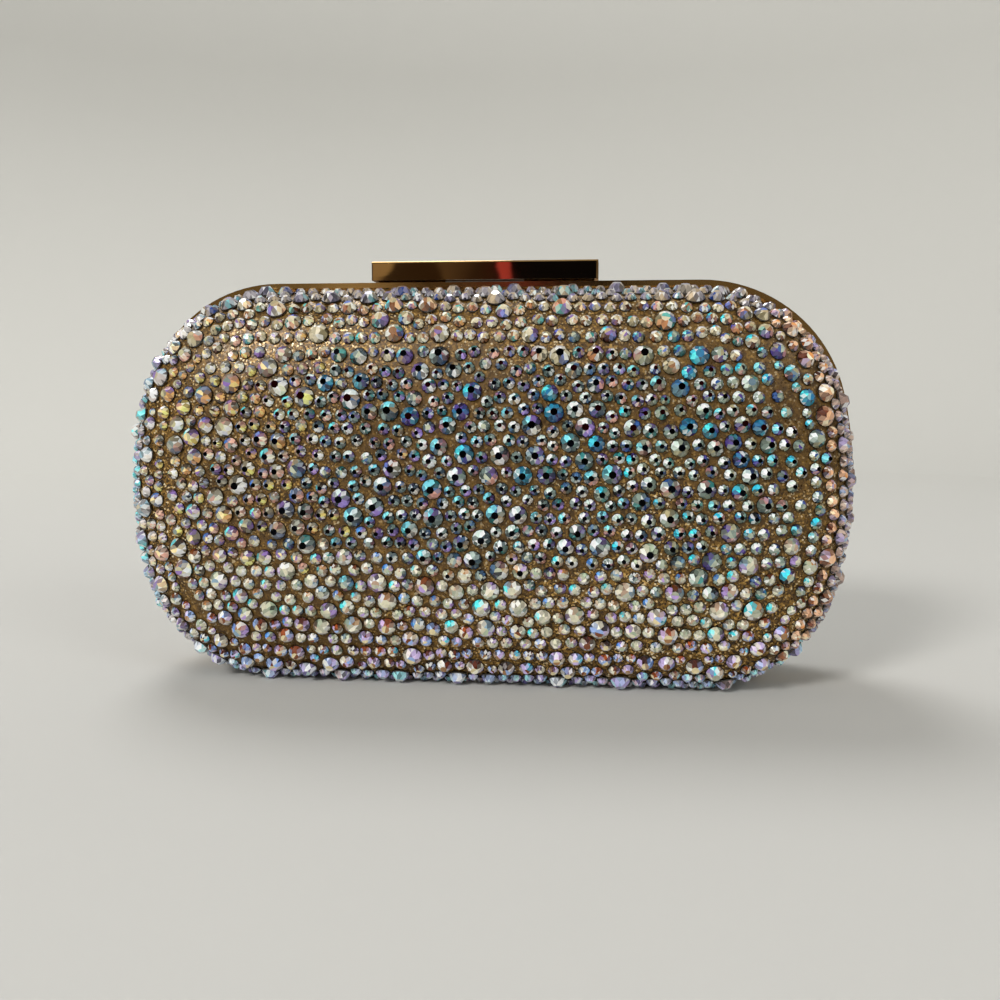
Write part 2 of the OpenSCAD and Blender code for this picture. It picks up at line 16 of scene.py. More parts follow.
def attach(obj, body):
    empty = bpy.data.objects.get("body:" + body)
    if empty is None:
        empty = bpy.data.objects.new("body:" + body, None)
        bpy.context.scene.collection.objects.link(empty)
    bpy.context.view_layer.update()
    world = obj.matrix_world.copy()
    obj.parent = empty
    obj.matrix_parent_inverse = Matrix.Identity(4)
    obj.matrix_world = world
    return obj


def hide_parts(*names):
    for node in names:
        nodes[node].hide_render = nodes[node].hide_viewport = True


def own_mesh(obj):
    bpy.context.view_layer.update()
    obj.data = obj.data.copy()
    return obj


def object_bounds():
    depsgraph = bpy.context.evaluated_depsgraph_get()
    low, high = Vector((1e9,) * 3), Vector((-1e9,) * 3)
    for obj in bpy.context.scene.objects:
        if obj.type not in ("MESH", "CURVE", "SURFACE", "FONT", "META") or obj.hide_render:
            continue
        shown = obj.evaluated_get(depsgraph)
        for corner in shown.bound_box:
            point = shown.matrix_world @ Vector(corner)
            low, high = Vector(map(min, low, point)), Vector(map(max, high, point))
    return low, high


MM = 0.001
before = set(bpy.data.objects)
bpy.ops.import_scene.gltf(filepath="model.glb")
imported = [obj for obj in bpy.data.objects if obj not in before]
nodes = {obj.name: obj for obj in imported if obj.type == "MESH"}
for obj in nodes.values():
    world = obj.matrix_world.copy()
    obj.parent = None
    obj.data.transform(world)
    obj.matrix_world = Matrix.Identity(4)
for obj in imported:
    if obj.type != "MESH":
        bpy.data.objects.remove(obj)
cad_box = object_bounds()
scene = bpy.context.scene
HALVES = (("front", -1), ("back", 1))

# Sizes of the CAD model, in millimetres
CASE_W, CASE_H, FACE_DEPTH = 166, 91, 21.3
CORNER_R, SIDE_R, EDGE_R = 33, 84, 9
SHOULDER_TILT, WALL_DRAFT = math.radians(20), math.radians(8)
COVER_T, SHELL_T, BOARD_T, LINING_T, GLUE_GAP = 0.8, 1.8, 0.8, 0.6, 0.05
HALF_GAP, FLANGE_T, CROWN_STOP = 0.1, 1.5, 1
SMALL_D, CRYSTAL_HEIGHT_SHARE = 2.8, 0.41
BAR_HALF_L, BAR_HALF_H, BAR_FRONT_Y, BAR_MIDDLE_Z = 25.8, 2.15, -5.2, 93.4

# Centres of the arcs that make the outline, measured from the middle of the case
SIDE_X = CASE_W / 2 - SIDE_R
CORNER_Z = CASE_H / 2 - CORNER_R
CORNER_X = SIDE_X + math.sqrt((SIDE_R - CORNER_R) ** 2 - CORNER_Z**2)
JOIN_A = math.atan2(CORNER_Z, CORNER_X - SIDE_X)
STRAIGHT_STEPS, CORNER_STEPS, END_STEPS = 6, 16, 8


def bend(centre, r, angle):
    """The [inset, depth] point at an angle of an arc of the section."""
    return (centre[0] - r * math.cos(angle), centre[1] + r * math.sin(angle))


# Section of a half, as [inset from the outline, depth from the parting plane]: a straight
# wall, the rounded edge, then a shallow crown that ends level
RIM_PROUD = GLUE_GAP + SMALL_D * CRYSTAL_HEIGHT_SHARE
LAYER_BASE = HALF_GAP + FLANGE_T + GLUE_GAP
LEAN = math.tan(WALL_DRAFT)
TOP_TILT = math.pi / 2 - SHOULDER_TILT
CROWN_END = CORNER_R - CROWN_STOP
CROWN_RISE_SHARE = (1 - math.sin(TOP_TILT)) / math.cos(TOP_TILT)
EDGE_RUN = EDGE_R * (math.cos(WALL_DRAFT) - math.cos(TOP_TILT))
EDGE_RISE = EDGE_R * (math.sin(TOP_TILT) - math.sin(WALL_DRAFT))
# The crown's rise over an upright wall; the wall's lean makes the crown shorter and lower
UPRIGHT_CROWN_RISE = (CROWN_END - RIM_PROUD - EDGE_RUN) * CROWN_RISE_SHARE
WALL_END = (FACE_DEPTH - EDGE_RISE - UPRIGHT_CROWN_RISE) / (1 - CROWN_RISE_SHARE * LEAN)
EDGE_CENTRE = (
    RIM_PROUD + WALL_END * LEAN + EDGE_R * math.cos(WALL_DRAFT),
    WALL_END - EDGE_R * math.sin(WALL_DRAFT),
)
SHOULDER = bend(EDGE_CENTRE, EDGE_R, TOP_TILT)
CROWN_R = (CROWN_END - SHOULDER[0]) / math.cos(TOP_TILT)
CROWN_CENTRE = (
    SHOULDER[0] + CROWN_R * math.cos(TOP_TILT),
    SHOULDER[1] - CROWN_R * math.sin(TOP_TILT),
)
WALL_STEPS, EDGE_STEPS, CROWN_STEPS = 4, 10, 8


def outline(inset):
    """[x, z] points round the case, clockwise from the middle of its top."""
    quarter = [(CORNER_X * i / STRAIGHT_STEPS, CASE_H / 2 - inset) for i in range(STRAIGHT_STEPS)]
    r = CORNER_R - inset
    for i in range(CORNER_STEPS + 1):
        a = math.pi / 2 - i * (math.pi / 2 - JOIN_A) / CORNER_STEPS
        quarter.append((CORNER_X + r * math.cos(a), CORNER_Z + r * math.sin(a)))
    r = SIDE_R - inset
    for i in range(1, END_STEPS + 1):
        a = JOIN_A * (1 - i / END_STEPS)
        quarter.append((SIDE_X + r * math.cos(a), r * math.sin(a)))
    right = quarter + [(x, -z) for x, z in reversed(quarter[:-1])]
    left = [(-x, -z) for x, z in right]
    return right[:-1] + left[:-1]


def profile(t):
    """[inset, depth] steps of a surface that lies t behind the fabric's outer face."""
    start = (RIM_PROUD + LAYER_BASE * LEAN + t / math.cos(WALL_DRAFT), LAYER_BASE)
    wall_end = bend(EDGE_CENTRE, EDGE_R - t, WALL_DRAFT)
    steps = [start]
    for i in range(1, WALL_STEPS):
        steps.append(tuple(a + (b - a) * (i / WALL_STEPS) for a, b in zip(start, wall_end)))
    for i in range(EDGE_STEPS + 1):
        angle = WALL_DRAFT + i * (TOP_TILT - WALL_DRAFT) / EDGE_STEPS
        steps.append(bend(EDGE_CENTRE, EDGE_R - t, angle))
    for i in range(1, CROWN_STEPS + 1):
        angle = TOP_TILT + i * SHOULDER_TILT / CROWN_STEPS
        steps.append(bend(CROWN_CENTRE, CROWN_R - t, angle))
    return steps


def add_object(name, data):
    """A new object of the scene, with a mesh, a lamp or a camera as its data."""
    made = bpy.data.objects.new(name, data)
    scene.collection.objects.link(made)
    return made


def add_mesh(name, verts, faces, material):
    mesh = bpy.data.meshes.new(name)
    mesh.from_pydata(verts, [], faces)
    mesh.materials.append(material)
    return add_object(name, mesh)


def paint(piece, layer_name, domain, colours):
    """Stores RGBA colours on the corners or the points of a piece."""
    layer = piece.data.color_attributes.new(layer_name, "FLOAT_COLOR", domain)
    layer.data.foreach_set("color", np.array(colours, np.float32).ravel())


def half_sheet(name, side, outer_t, inner_t, material):
    """A closed thin sheet over one half; side is -1 at the front and 1 at the back."""
    rings, n = len(profile(0)), len(outline(0))
    layer_size = rings * n
    # Each step of depth is lowered by the draft, so that the base wall lies level
    verts = [
        (x * MM, side * depth * MM, (z + CASE_H / 2 - LEAN * depth) * MM)
        for t in (outer_t, inner_t)
        for inset, depth in profile(t)
        for x, z in outline(inset)
    ]
    faces = []

    def add(corners, outer=True):
        faces.append(corners if (side < 0) == outer else corners[::-1])

    for layer in (0, 1):
        start = layer * layer_size
        for r in range(rings - 1):
            low, high = start + r * n, start + (r + 1) * n
            for i in range(n):
                j = (i + 1) % n
                add((low + i, low + j, high + j, high + i), layer == 0)
        last = start + (rings - 1) * n
        centre = len(verts)
        verts.append(tuple(np.mean(verts[last : last + n], axis=0)))
        for i in range(n):
            add((last + i, last + (i + 1) % n, centre), layer == 0)
    for i in range(n):
        j = (i + 1) % n
        add((i, layer_size + i, layer_size + j, j))
    piece = add_mesh(name, verts, faces, material)
    bm = bmesh.new()
    bm.from_mesh(piece.data)
    bmesh.ops.recalc_face_normals(bm, faces=bm.faces)
    bm.to_mesh(piece.data)
    bm.free()
    for p in piece.data.polygons:
        p.use_smooth = True
    return piece


# Node materials
MIX_A, MIX_B, MIX_RESULT = 6, 7, 2  # the colour sockets of a Mix node


def srgb(code):
    """A hex colour as a linear RGBA."""
    out = []
    for i in (0, 2, 4):
        c = int(code[i : i + 2], 16) / 255
        out.append(c / 12.92 if c <= 0.04045 else ((c + 0.055) / 1.055) ** 2.4)
    return (*out, 1.0)


def grey(level):
    return (level, level, level, 1.0)


class Graph:
    """Short calls for building one node material; scales are in waves or cells a metre."""

    def __init__(self, name, **sockets):
        self.material = bpy.data.materials.new(name)
        self.material.use_nodes = True
        self.tree = self.material.node_tree
        self.shader = self.tree.nodes["Principled BSDF"]
        for key, value in sockets.items():
            self.shader.inputs[key.replace("_", " ")].default_value = value

    def node(self, kind, **props):
        n = self.tree.nodes.new(kind)
        for key, value in props.items():
            setattr(n, key, value)
        return n

    def link(self, a, b):
        self.tree.links.new(a, b)

    def feed(self, socket, output):
        """Links an output to the shader's socket of that name."""
        self.link(output, self.shader.inputs[socket])

    def place(self):
        return self.node("ShaderNodeTexCoord").outputs["Object"]

    def scaled(self, scale):
        n = self.node("ShaderNodeMapping")
        n.inputs["Scale"].default_value = scale
        self.link(self.place(), n.inputs["Vector"])
        return n.outputs["Vector"]

    def noise(self, scale, detail=3.0, rough=0.5, vector=None):
        n = self.node("ShaderNodeTexNoise")
        n.inputs["Scale"].default_value = scale
        n.inputs["Detail"].default_value = detail
        n.inputs["Roughness"].default_value = rough
        self.link(vector or self.place(), n.inputs["Vector"])
        return n.outputs["Fac"]

    def ramp(self, fac, stops):
        """A colour for each value, through stops of [value, colour]."""
        n = self.node("ShaderNodeValToRGB")
        ramp = n.color_ramp.elements
        while len(ramp) < len(stops):
            ramp.new(0.5)
        for e, (at, colour) in zip(ramp, stops):
            e.position = at
            e.color = colour
        self.link(fac, n.inputs["Fac"])
        return n.outputs["Color"]

    def spread(self, fac, low, high):
        n = self.node("ShaderNodeMapRange")
        n.inputs["To Min"].default_value = low
        n.inputs["To Max"].default_value = high
        self.link(fac, n.inputs["Value"])
        return n.outputs["Result"]

    def mix(self, fac, a, b, mode="MIX"):
        n = self.node("ShaderNodeMix", data_type="RGBA", blend_type=mode)
        if isinstance(fac, float):
            n.inputs["Factor"].default_value = fac
        else:
            self.link(fac, n.inputs["Factor"])
        self.link(a, n.inputs[MIX_A])
        self.link(b, n.inputs[MIX_B])
        return n.outputs[MIX_RESULT]

    def bump(self, height, distance, strength=1.0, normal=None):
        """Bumps the shader's normal, on top of an earlier bump's normal if one is given."""
        n = self.node("ShaderNodeBump")
        n.inputs["Strength"].default_value = strength
        n.inputs["Distance"].default_value = distance
        self.link(height, n.inputs["Height"])
        if normal is not None:
            self.link(normal, n.inputs["Normal"])
        self.feed("Normal", n.outputs["Normal"])
        return n.outputs["Normal"]


def polished_metal(name, light, dark, rough, wave=0.0):
    """Metal with cloudy tone, smudges and fine scratches, and slow waves of a given height."""
    g = Graph(name, Metallic=1.0)
    tone = g.noise(scale=60, detail=4)
    g.feed("Base Color", g.ramp(tone, [(0.3, srgb(dark)), (0.7, srgb(light))]))
    smudge = g.noise(scale=180, detail=5, rough=0.6)
    g.feed("Roughness", g.spread(smudge, *rough))
    scratch = g.noise(scale=900, detail=2, vector=g.scaled((0.12, 1.0, 1.0)))
    fine = g.bump(scratch, distance=0.004 * MM, strength=0.5)
    if wave:
        g.bump(g.noise(scale=45, detail=1), distance=wave, normal=fine)
    return g.material


def moulded_plastic(name, light, dark):
    g = Graph(name, Roughness=0.55)
    tone = g.noise(scale=90, detail=4)
    g.feed("Base Color", g.ramp(tone, [(0.35, srgb(dark)), (0.65, srgb(light))]))
    g.bump(g.noise(scale=1500), distance=0.04 * MM, strength=0.6)
    return g.material


def glitter_fabric():
    """Golden ground with fine metal flecks, denser and brighter in loose clouds; the brightest flecks are
    painted glints.
    """
    g = Graph("glitter_fabric", Metallic=0.25)
    cells = g.node("ShaderNodeTexVoronoi", feature="F1")
    cells.inputs["Scale"].default_value = 2600
    g.link(g.place(), cells.inputs["Vector"])
    fleck = g.node("ShaderNodeSeparateColor")
    g.link(cells.outputs["Color"], fleck.inputs["Color"])
    ground = g.ramp(
        g.noise(scale=420, detail=4, rough=0.6),
        [(0.3, srgb("3f2c11")), (0.55, srgb("664a1f")), (0.75, srgb("856429"))],
    )
    # Fleck tones: the two brightest stops are painted glints
    tones = g.ramp(
        fleck.outputs["Red"],
        [
            (0.0, srgb("1e1408")),
            (0.22, srgb("3d2b0f")),
            (0.5, srgb("684b1e")),
            (0.8, srgb("967130")),
            (0.93, srgb("dcb162")),
            (0.99, srgb("fff0c8")),
        ],
    )
    # Loose clouds where the flecks and their painted glints show
    glint_clouds = g.ramp(g.noise(scale=22, detail=2), [(0.38, grey(0.25)), (0.62, grey(0.9))])
    g.feed("Base Color", g.mix(glint_clouds, ground, tones))
    g.feed("Roughness", g.spread(fleck.outputs["Green"], 0.25, 0.6))
    g.bump(fleck.outputs["Blue"], distance=0.1 * MM, strength=0.9)
    return g.material


def satin():
    """Champagne satin with soft upright folds and a diagonal weave."""
    g = Graph("lining_satin", Roughness=0.38, Sheen_Weight=0.35, Sheen_Roughness=0.4)
    weave = g.node("ShaderNodeTexWave", wave_type="BANDS", bands_direction="DIAGONAL")
    weave.inputs["Scale"].default_value = 900
    weave.inputs["Distortion"].default_value = 0.6
    g.link(g.place(), weave.inputs["Vector"])
    tone = g.ramp(g.noise(scale=60, detail=4), [(0.3, srgb("d0b07c")), (0.7, srgb("d9bc8a"))])
    g.feed("Base Color", g.mix(0.18, tone, weave.outputs["Color"], "MULTIPLY"))
    upright = g.noise(scale=70, vector=g.scaled((1.0, 1.0, 0.35)))
    folds = g.bump(upright, distance=0.8 * MM, strength=0.35)
    g.bump(weave.outputs["Fac"], distance=0.04 * MM, strength=0.7, normal=folds)
    return g.material


def foiled_crystal():
    """Foil-backed glass: each facet carries its own colour under a clear glossy skin.

    The alpha of the facet colour is its gloss; the dark middles are painted reflections of the dark room
    in front and have none.
    """
    g = Graph("foiled_crystal", Roughness=0.12, Metallic=0.0, Coat_Roughness=0.03, IOR=1.6)
    facet = g.node("ShaderNodeVertexColor", layer_name="facet")
    g.feed("Coat Weight", g.spread(facet.outputs["Alpha"], 0.0, 0.7))
    g.feed("Specular IOR Level", g.spread(facet.outputs["Alpha"], 0.03, 0.5))
    streak = g.ramp(g.noise(scale=1400, detail=2), [(0.3, (0.86, 0.86, 0.88, 1.0)), (0.7, grey(1.0))])
    g.feed("Base Color", g.mix(1.0, facet.outputs["Color"], streak, "MULTIPLY"))
    return g.material


GOLD = polished_metal("polished_gold", light="e2b974", dark="d4a764", rough=(0.1, 0.2))
BAR_GOLD = polished_metal("mirror_gold", light="e6bd7e", dark="d9ab6a", rough=(0.02, 0.05), wave=0.5 * MM)
STEEL = polished_metal("drawn_steel", light="c4c4c6", dark="a4a4a8", rough=(0.22, 0.4))
SHELL = moulded_plastic("moulded_shell", light="6a563e", dark="54432e")
BOARD = moulded_plastic("insert_board", light="9a8a72", dark="85765f")
FABRIC = glitter_fabric()
SATIN = satin()
CRYSTAL = foiled_crystal()

# Cut of the crystals, in shares of their radius
SIDES = 8
TABLE_R, MIDDLE_R, RIM_R, BACK_R = 0.42, 0.72, 0.94, 1.0
TOP_Z, MIDDLE_Z, RIM_Z = 0.82, 0.5, 0.12


def ring(count, r, z, ahead=0.0):
    """Points round the crystal's axis, the first one turned ahead by a share of a step."""
    step = 2 * math.pi / count
    return [(r * math.cos((k + ahead) * step), r * math.sin((k + ahead) * step), z) for k in range(count)]


def cut_crystal():
    """Vertices, faces, and each face's [kind, eighth] of one crystal."""
    verts = [(0, 0, TOP_Z)] + ring(SIDES, TABLE_R, TOP_Z) + ring(SIDES, MIDDLE_R, MIDDLE_Z, 0.5)
    verts += ring(2 * SIDES, RIM_R, RIM_Z) + ring(2 * SIDES, BACK_R, 0.0)
    table, middle, rim, back = 1, 1 + SIDES, 1 + 2 * SIDES, 1 + 4 * SIDES
    faces, kinds = [], []
    for k in range(SIDES):
        after, before = (k + 1) % SIDES, (k - 1) % SIDES
        r0, r1, r2 = 2 * k, 2 * k + 1, 2 * after
        for kind, face in (
            ("table", (0, table + k, table + after)),
            ("star", (table + k, middle + k, table + after)),
            ("kite", (table + k, middle + before, rim + r0, middle + k)),
            ("skirt", (middle + k, rim + r0, rim + r1)),
            ("skirt", (middle + k, rim + r1, rim + r2)),
            ("girdle", (rim + r0, back + r0, back + r1, rim + r1)),
            ("girdle", (rim + r1, back + r1, back + r2, rim + r2)),
        ):
            faces.append(face)
            kinds.append((kind, k))
    faces.append(tuple(back + k for k in reversed(range(2 * SIDES))))
    kinds.append(("back", 0))
    return np.array(verts, float), faces, kinds


CUT_VERTS, CUT_FACES, CUT_KINDS = cut_crystal()
SAME_POINT = 1e-7  # metres, between vertices that count as one
PLACE_DIGITS = 5  # crystals are sorted by places rounded to a hundredth of a millimetre


def islands(bm):
    """The vertices of each separate solid of a mesh."""
    seen = [False] * len(bm.verts)
    for start in bm.verts:
        if seen[start.index]:
            continue
        seen[start.index] = True
        stack, island = [start], []
        while stack:
            v = stack.pop()
            island.append(v.co)
            for e in v.link_edges:
                other = e.other_vert(v)
                if not seen[other.index]:
                    seen[other.index] = True
                    stack.append(other)
        yield np.array(island, float)


def crystals_of(node):
    """[centre of the flat back, normal, radius] of each crystal of a CAD node, in metres."""
    bm = bmesh.new()
    bm.from_mesh(nodes[node].data)
    bmesh.ops.remove_doubles(bm, verts=bm.verts, dist=SAME_POINT)
    bm.verts.ensure_lookup_table()
    found = []
    for points in islands(bm):
        middle = points.mean(0)
        # A crystal is flat, so its points spread least along its normal
        normal = np.linalg.eigh(np.cov((points - middle).T))[1][:, 0]
        along = (points - middle) @ normal
        away = np.linalg.norm(points - middle - np.outer(along, normal), axis=1)
        if away[along > 0].mean() > away[along < 0].mean():
            normal, along = -normal, -along
        wide = along < 0
        foot = middle + normal * along[wide].mean()
        found.append((*foot, *normal, away[wide].max()))
    bm.free()
    found.sort(key=lambda crystal: tuple(round(v, PLACE_DIGITS) for v in crystal[:3]))
    return np.array(found)


# Zones of the cover. The crystals' colours are partly their own tints and partly painted reflections of
# the foil, which change with a crystal's place and the way it faces. A zone's colours are [weight, hex]:
# body for the facets round the table, and table for the flat top.
# Its reflection lobes are painted reflections, [direction in degrees, half width in degrees, chance,
# colours], where direction 90 is up, and they cover the facets that face that way
ZONES = {
    "centre": {
        "body": [
            (4, "7f8f88"), (2, "9aa8a4"), (3, "586a76"), (2, "6488b0"), (2, "8a74b0"),
            (1, "39424a"), (1, "b09a78"), (1, "4a9a98"), (1, "b08890"),
        ],
        "table": [(3, "b4b8a4"), (2, "8f9a94")],
        "reflection_lobes": [
            (130, 50, 0.55, [(3, "dff0e8"), (2, "8ad8e4")]),
            (-45, 40, 0.45, [(3, "efe6da"), (2, "eeb8a8"), (2, "c4a8f0")]),
        ],
    },
    "cyan": {
        "body": [(3, "3a8fae"), (3, "4a86b4"), (2, "5aaabb"), (2, "6f5cb0"), (2, "6f8f9a")],
        "table": [(2, "3f8fb8"), (1, "8fb8c0")],
        "reflection_lobes": [(150, 45, 0.6, [(2, "62e0ee"), (1, "d8f4f4")])],
    },
    "right": {
        "body": [
            (4, "8b9a90"), (1, "4a74b4"), (2, "7460b0"), (3, "a0a898"),
            (1, "2c3440"), (2, "a8a080"), (1, "c49a94"), (1, "4f9c98"),
        ],
        "table": [(2, "a4ac9c"), (1, "7f94a0")],
        "reflection_lobes": [(150, 45, 0.75, [(4, "e6f4ec"), (2, "4fd4ee"), (1, "8fe4f0")])],
    },
    "left": {
        "body": [
            (3, "a09884"), (2, "c09a8c"), (2, "8a93a8"), (2, "a8a89c"), (1, "6c5a48"), (2, "9c80bc"),
        ],
        "table": [(2, "b9b494"), (1, "d8c89a"), (1, "8f9a94")],
        "reflection_lobes": [
            (-30, 55, 0.8, [(3, "fff6d8"), (2, "ecd888"), (2, "f0bc80"), (2, "f4c2b0")]),
            (150, 40, 0.35, [(1, "6fdce4"), (1, "5f8fd0")]),
        ],
    },
    "low": {
        "body": [
            (4, "c0beaa"), (3, "d8d2c2"), (2, "a8b49e"), (2, "b79e88"), (1, "8fa8b8"), (2, "b49ccc"),
        ],
        "table": [(3, "b2b2a0"), (2, "c6c2ac"), (1, "a3a896")],
        "reflection_lobes": [
            (-90, 60, 0.75, [(3, "f6f2e8"), (2, "e6e8d0")]),
            (140, 40, 0.35, [(2, "63dce6"), (1, "6aa8ee")]),
            (90, 35, 0.3, [(1, "96582e"), (1, "b98c5e")]),
        ],
    },
    "lowest": {
        "body": [(2, "d6d2c2"), (1, "b09a84"), (2, "9cb2d8"), (2, "c4b4d8")],
        "table": [(2, "b08a60"), (2, "d0c4a0"), (1, "9a5a2c")],
        "reflection_lobes": [
            (90, 42, 0.6, [(3, "8a3f16"), (2, "b4622a"), (1, "5e2410")]),
            (-90, 60, 0.8, [(3, "f4ecd4"), (1, "f2d8b4")]),
            (20, 25, 0.3, [(1, "8fb4ee"), (1, "5fd0ea")]),
        ],
    },
    "under": {
        "body": [
            (3, "b0c0e0"), (2, "bcb0dc"), (2, "a0d4dc"), (2, "d4dae2"), (1, "ccb4b4"), (1, "9088c4"),
        ],
        "table": [(2, "b0bccc"), (1, "a89cc8"), (1, "b4c8c8")],
        "reflection_lobes": [],
    },
    "high": {
        "body": [
            (3, "c4bca4"), (3, "aaa080"), (2, "e4dcc6"), (1, "9a80b4"), (1, "cc9c88"),
            (1, "7f90c8"), (1, "70b4ac"),
        ],
        "table": [(2, "b9a888"), (1, "c9c0a8"), (1, "a67c58")],
        "reflection_lobes": [
            (-90, 45, 0.42, [(3, "9c6a44"), (1, "c08a5c"), (1, "7c4a2c")]),
            (150, 35, 0.4, [(2, "54d4e6"), (2, "7f84e4")]),
            (90, 50, 0.5, [(1, "f4f2ea")]),
            (-20, 30, 0.3, [(2, "f0c4a0"), (1, "deb074")]),
        ],
    },
    "over": {
        "body": [
            (3, "a5a0a4"), (2, "8f8aa0"), (2, "b0a698"), (1, "7fb0b4"), (2, "b8a890"), (0.4, "2c5fb0"),
        ],
        "table": [(2, "a8a4a4"), (1, "8f86a8"), (1, "a8967c")],
        "reflection_lobes": [],
    },
    "right_edge": {
        "body": [(3, "dcb898"), (2, "c9a488"), (2, "e9d2b8"), (1, "a9785a"), (1, "b4a4b8")],
        "table": [(3, "dcb490"), (1, "c89a74"), (1, "e0a060")],
        "reflection_lobes": [(180, 45, 0.5, [(2, "8a4a26"), (1, "b07040")]), (0, 60, 0.5, [(1, "f6e2c8")])],
    },
    "right_end": {
        "body": [(3, "b8a094"), (2, "a599b8"), (1, "8fa6c4"), (2, "c4b2a4")],
        "table": [(1, "a8a0bc"), (1, "b8a898"), (1, "9cb0c4")],
        "reflection_lobes": [],
    },
    "left_edge": {
        "body": [(3, "bcb8b8"), (2, "d2cac6"), (2, "98b4c0"), (2, "a08cbc"), (1, "84705c")],
        "table": [(2, "b4ac98"), (1, "8fa0a4")],
        "reflection_lobes": [
            (-20, 45, 0.5, [(2, "f2eee6"), (1, "ecd4b0")]),
            (160, 40, 0.35, [(2, "6fe0e6"), (1, "8fb8e8")]),
        ],
    },
    "left_end": {
        "body": [(2, "7fd6da"), (3, "a2bac8"), (2, "b0a8c8"), (2, "c0b4ac")],
        "table": [(1, "8fccd2"), (1, "a0acc0"), (1, "b4aca4")],
        "reflection_lobes": [],
    },
    "back_end": {
        "body": [(2, "b8a094"), (2, "a599b8"), (2, "8fb0c0"), (1, "7fc4cc"), (2, "c4b2a4")],
        "table": [(1, "a8a0bc"), (1, "b8a898"), (1, "9cb8c4")],
        "reflection_lobes": [],
    },
}
# Painted reflections: dark and dark red table colours that stand for the dark room in front, mirrored in
# the foil
PUPIL_REFLECTIONS = [(4, "0e1216"), (3, "141a2c"), (1, "1c1014")]
RED_PUPIL_REFLECTIONS = [(3, "4a0d18"), (1, "101018")]
# Painted contact shade: the girdle walls are dark brown round each crystal where it sits on the fabric
GIRDLE_SHADE = np.array(srgb("261b10")[:3])

# Borders of the zones: parts of a crystal's normal, and places from -1 to 1 over the case
UNDER_NORMAL, OVER_NORMAL, HIGH_NORMAL = -0.62, 0.8, 0.3
END_NORMAL, EDGE_NORMAL = 0.72, 0.36
HIGH_UP, LOW_UP, LOWEST_UP = 0.66, -0.38, -0.72
LEFT_ACROSS, RIGHT_ACROSS = -0.42, 0.4
CYAN_UP, CYAN_ACROSS, CYAN_CHANCE = (0.12, 0.5), 0.8, 0.45
BORDER_BLUR = 0.08
BIG_R = 1.7 * MM  # full-size large and medium crystals are over it, and small ones under it

# Crystals in an ellipse on the face get a painted reflection of the dark room in front on a table that is
# a little smaller and off centre, and on some of those high up that painted reflection is dark red.
# Places and the ellipse are from -1 to 1, shifts in radii
PUPIL_CENTRE, PUPIL_REACH, PUPIL_FADE, PUPIL_CHANCE = (0.065, 0.134), (0.76, 0.53), (0.85, 1.25), 0.95
PUPIL_SIZE, PUPIL_SHIFT, PUPIL_LEVEL_UP, PUPIL_JITTER = 0.88, (0.17, 0.2), 0.1, 0.02
RED_UP, RED_CHANCE = 0.28, 0.5

# The contrast that a mirror backing gives, painted into the colours as the brightness of its reflection:
# powers of a colour's brightness and of the colour
LUMA = (0.2126, 0.7152, 0.0722)
GAIN, BRIGHT_POWER, COLOUR_POWER = 2.0, 0.5, 1.25

# Kinds of facet: [least share, greatest share, chance]. A facet takes its colour times a share,
# and has that chance of a painted near-white glint and the same chance of a painted near-black reflection
FACETS = {"star": (0.5, 1.4, 0.12), "kite": (0.45, 1.4, 0.08), "skirt": (0.12, 1.0, 0.08)}
# A kite lies between two eighths, and has a share of each one's colour
KITE_SHARES = (0.7, 0.3)
# Painted glints and painted dark reflections: the glint's white, its share, the facet's own share, and
# the dark facet's share
PAINTED_GLINT, PAINTED_GLINT_SHARE, OWN_SHARE, DARK_REFLECTION_SHARE = np.array((0.93, 0.95, 0.92)), 0.7, 0.3, 0.3
LOBE_BLUR, LOBE_WIDTH_SHARES, LOBE_TONE_SHARES = 18, (0.6, 1.1), (0.85, 1.1)
PUPIL_TONE_SHARES, TABLE_TONE_SHARES, GIRDLE_SHADE_SHARES = (0.7, 1.3), (0.92, 1.06), (0.4, 1.2)
# A crystal that faces straight up or down has less than this to tell which way is level
LEVEL_LIMIT = 0.05


def pick(rng, options):
    """A colour drawn by weight, with its contrast raised."""
    weights = np.array([o[0] for o in options], float)
    code = options[rng.choice(len(options), p=weights / weights.sum())][1]
    colour = np.array(srgb(code)[:3])
    bright = colour @ LUMA
    return GAIN * bright**BRIGHT_POWER * colour**COLOUR_POWER


def ease(value, low, high):
    """A smooth step from 0 at low to 1 at high."""
    t = min(1.0, max(0.0, (value - low) / (high - low)))
    return t * t * (3 - 2 * t)


def zone_of(rng, across, up, n_right, n_up, big):
    """The zone of a crystal at [across, up], with its normal's parts to the right and up."""
    across += rng.normal(0, BORDER_BLUR)
    up += rng.normal(0, BORDER_BLUR)
    if n_up < UNDER_NORMAL:
        return "under"
    if n_up > OVER_NORMAL:
        return "over"
    end = "right" if n_right > 0 else "left"
    if abs(n_right) > END_NORMAL:
        return end + "_end"
    if abs(n_right) > EDGE_NORMAL:
        return end + "_edge"
    if up > HIGH_UP or n_up > HIGH_NORMAL:
        return "high"
    if up < LOWEST_UP:
        return "lowest"
    if up < LOW_UP:
        return "low"
    if across < LEFT_ACROSS:
        return "left"
    if big and CYAN_UP[0] < up < CYAN_UP[1] and across < CYAN_ACROSS and rng.random() < CYAN_CHANCE:
        return "cyan"
    return "right" if across > RIGHT_ACROSS else "centre"


def pupil_chance(across, up):
    """The chance that a crystal shows a painted dark reflection in its middle."""
    off = (np.array((across, up)) - PUPIL_CENTRE) / PUPIL_REACH
    return (1 - ease(off @ off, *PUPIL_FADE)) * PUPIL_CHANCE


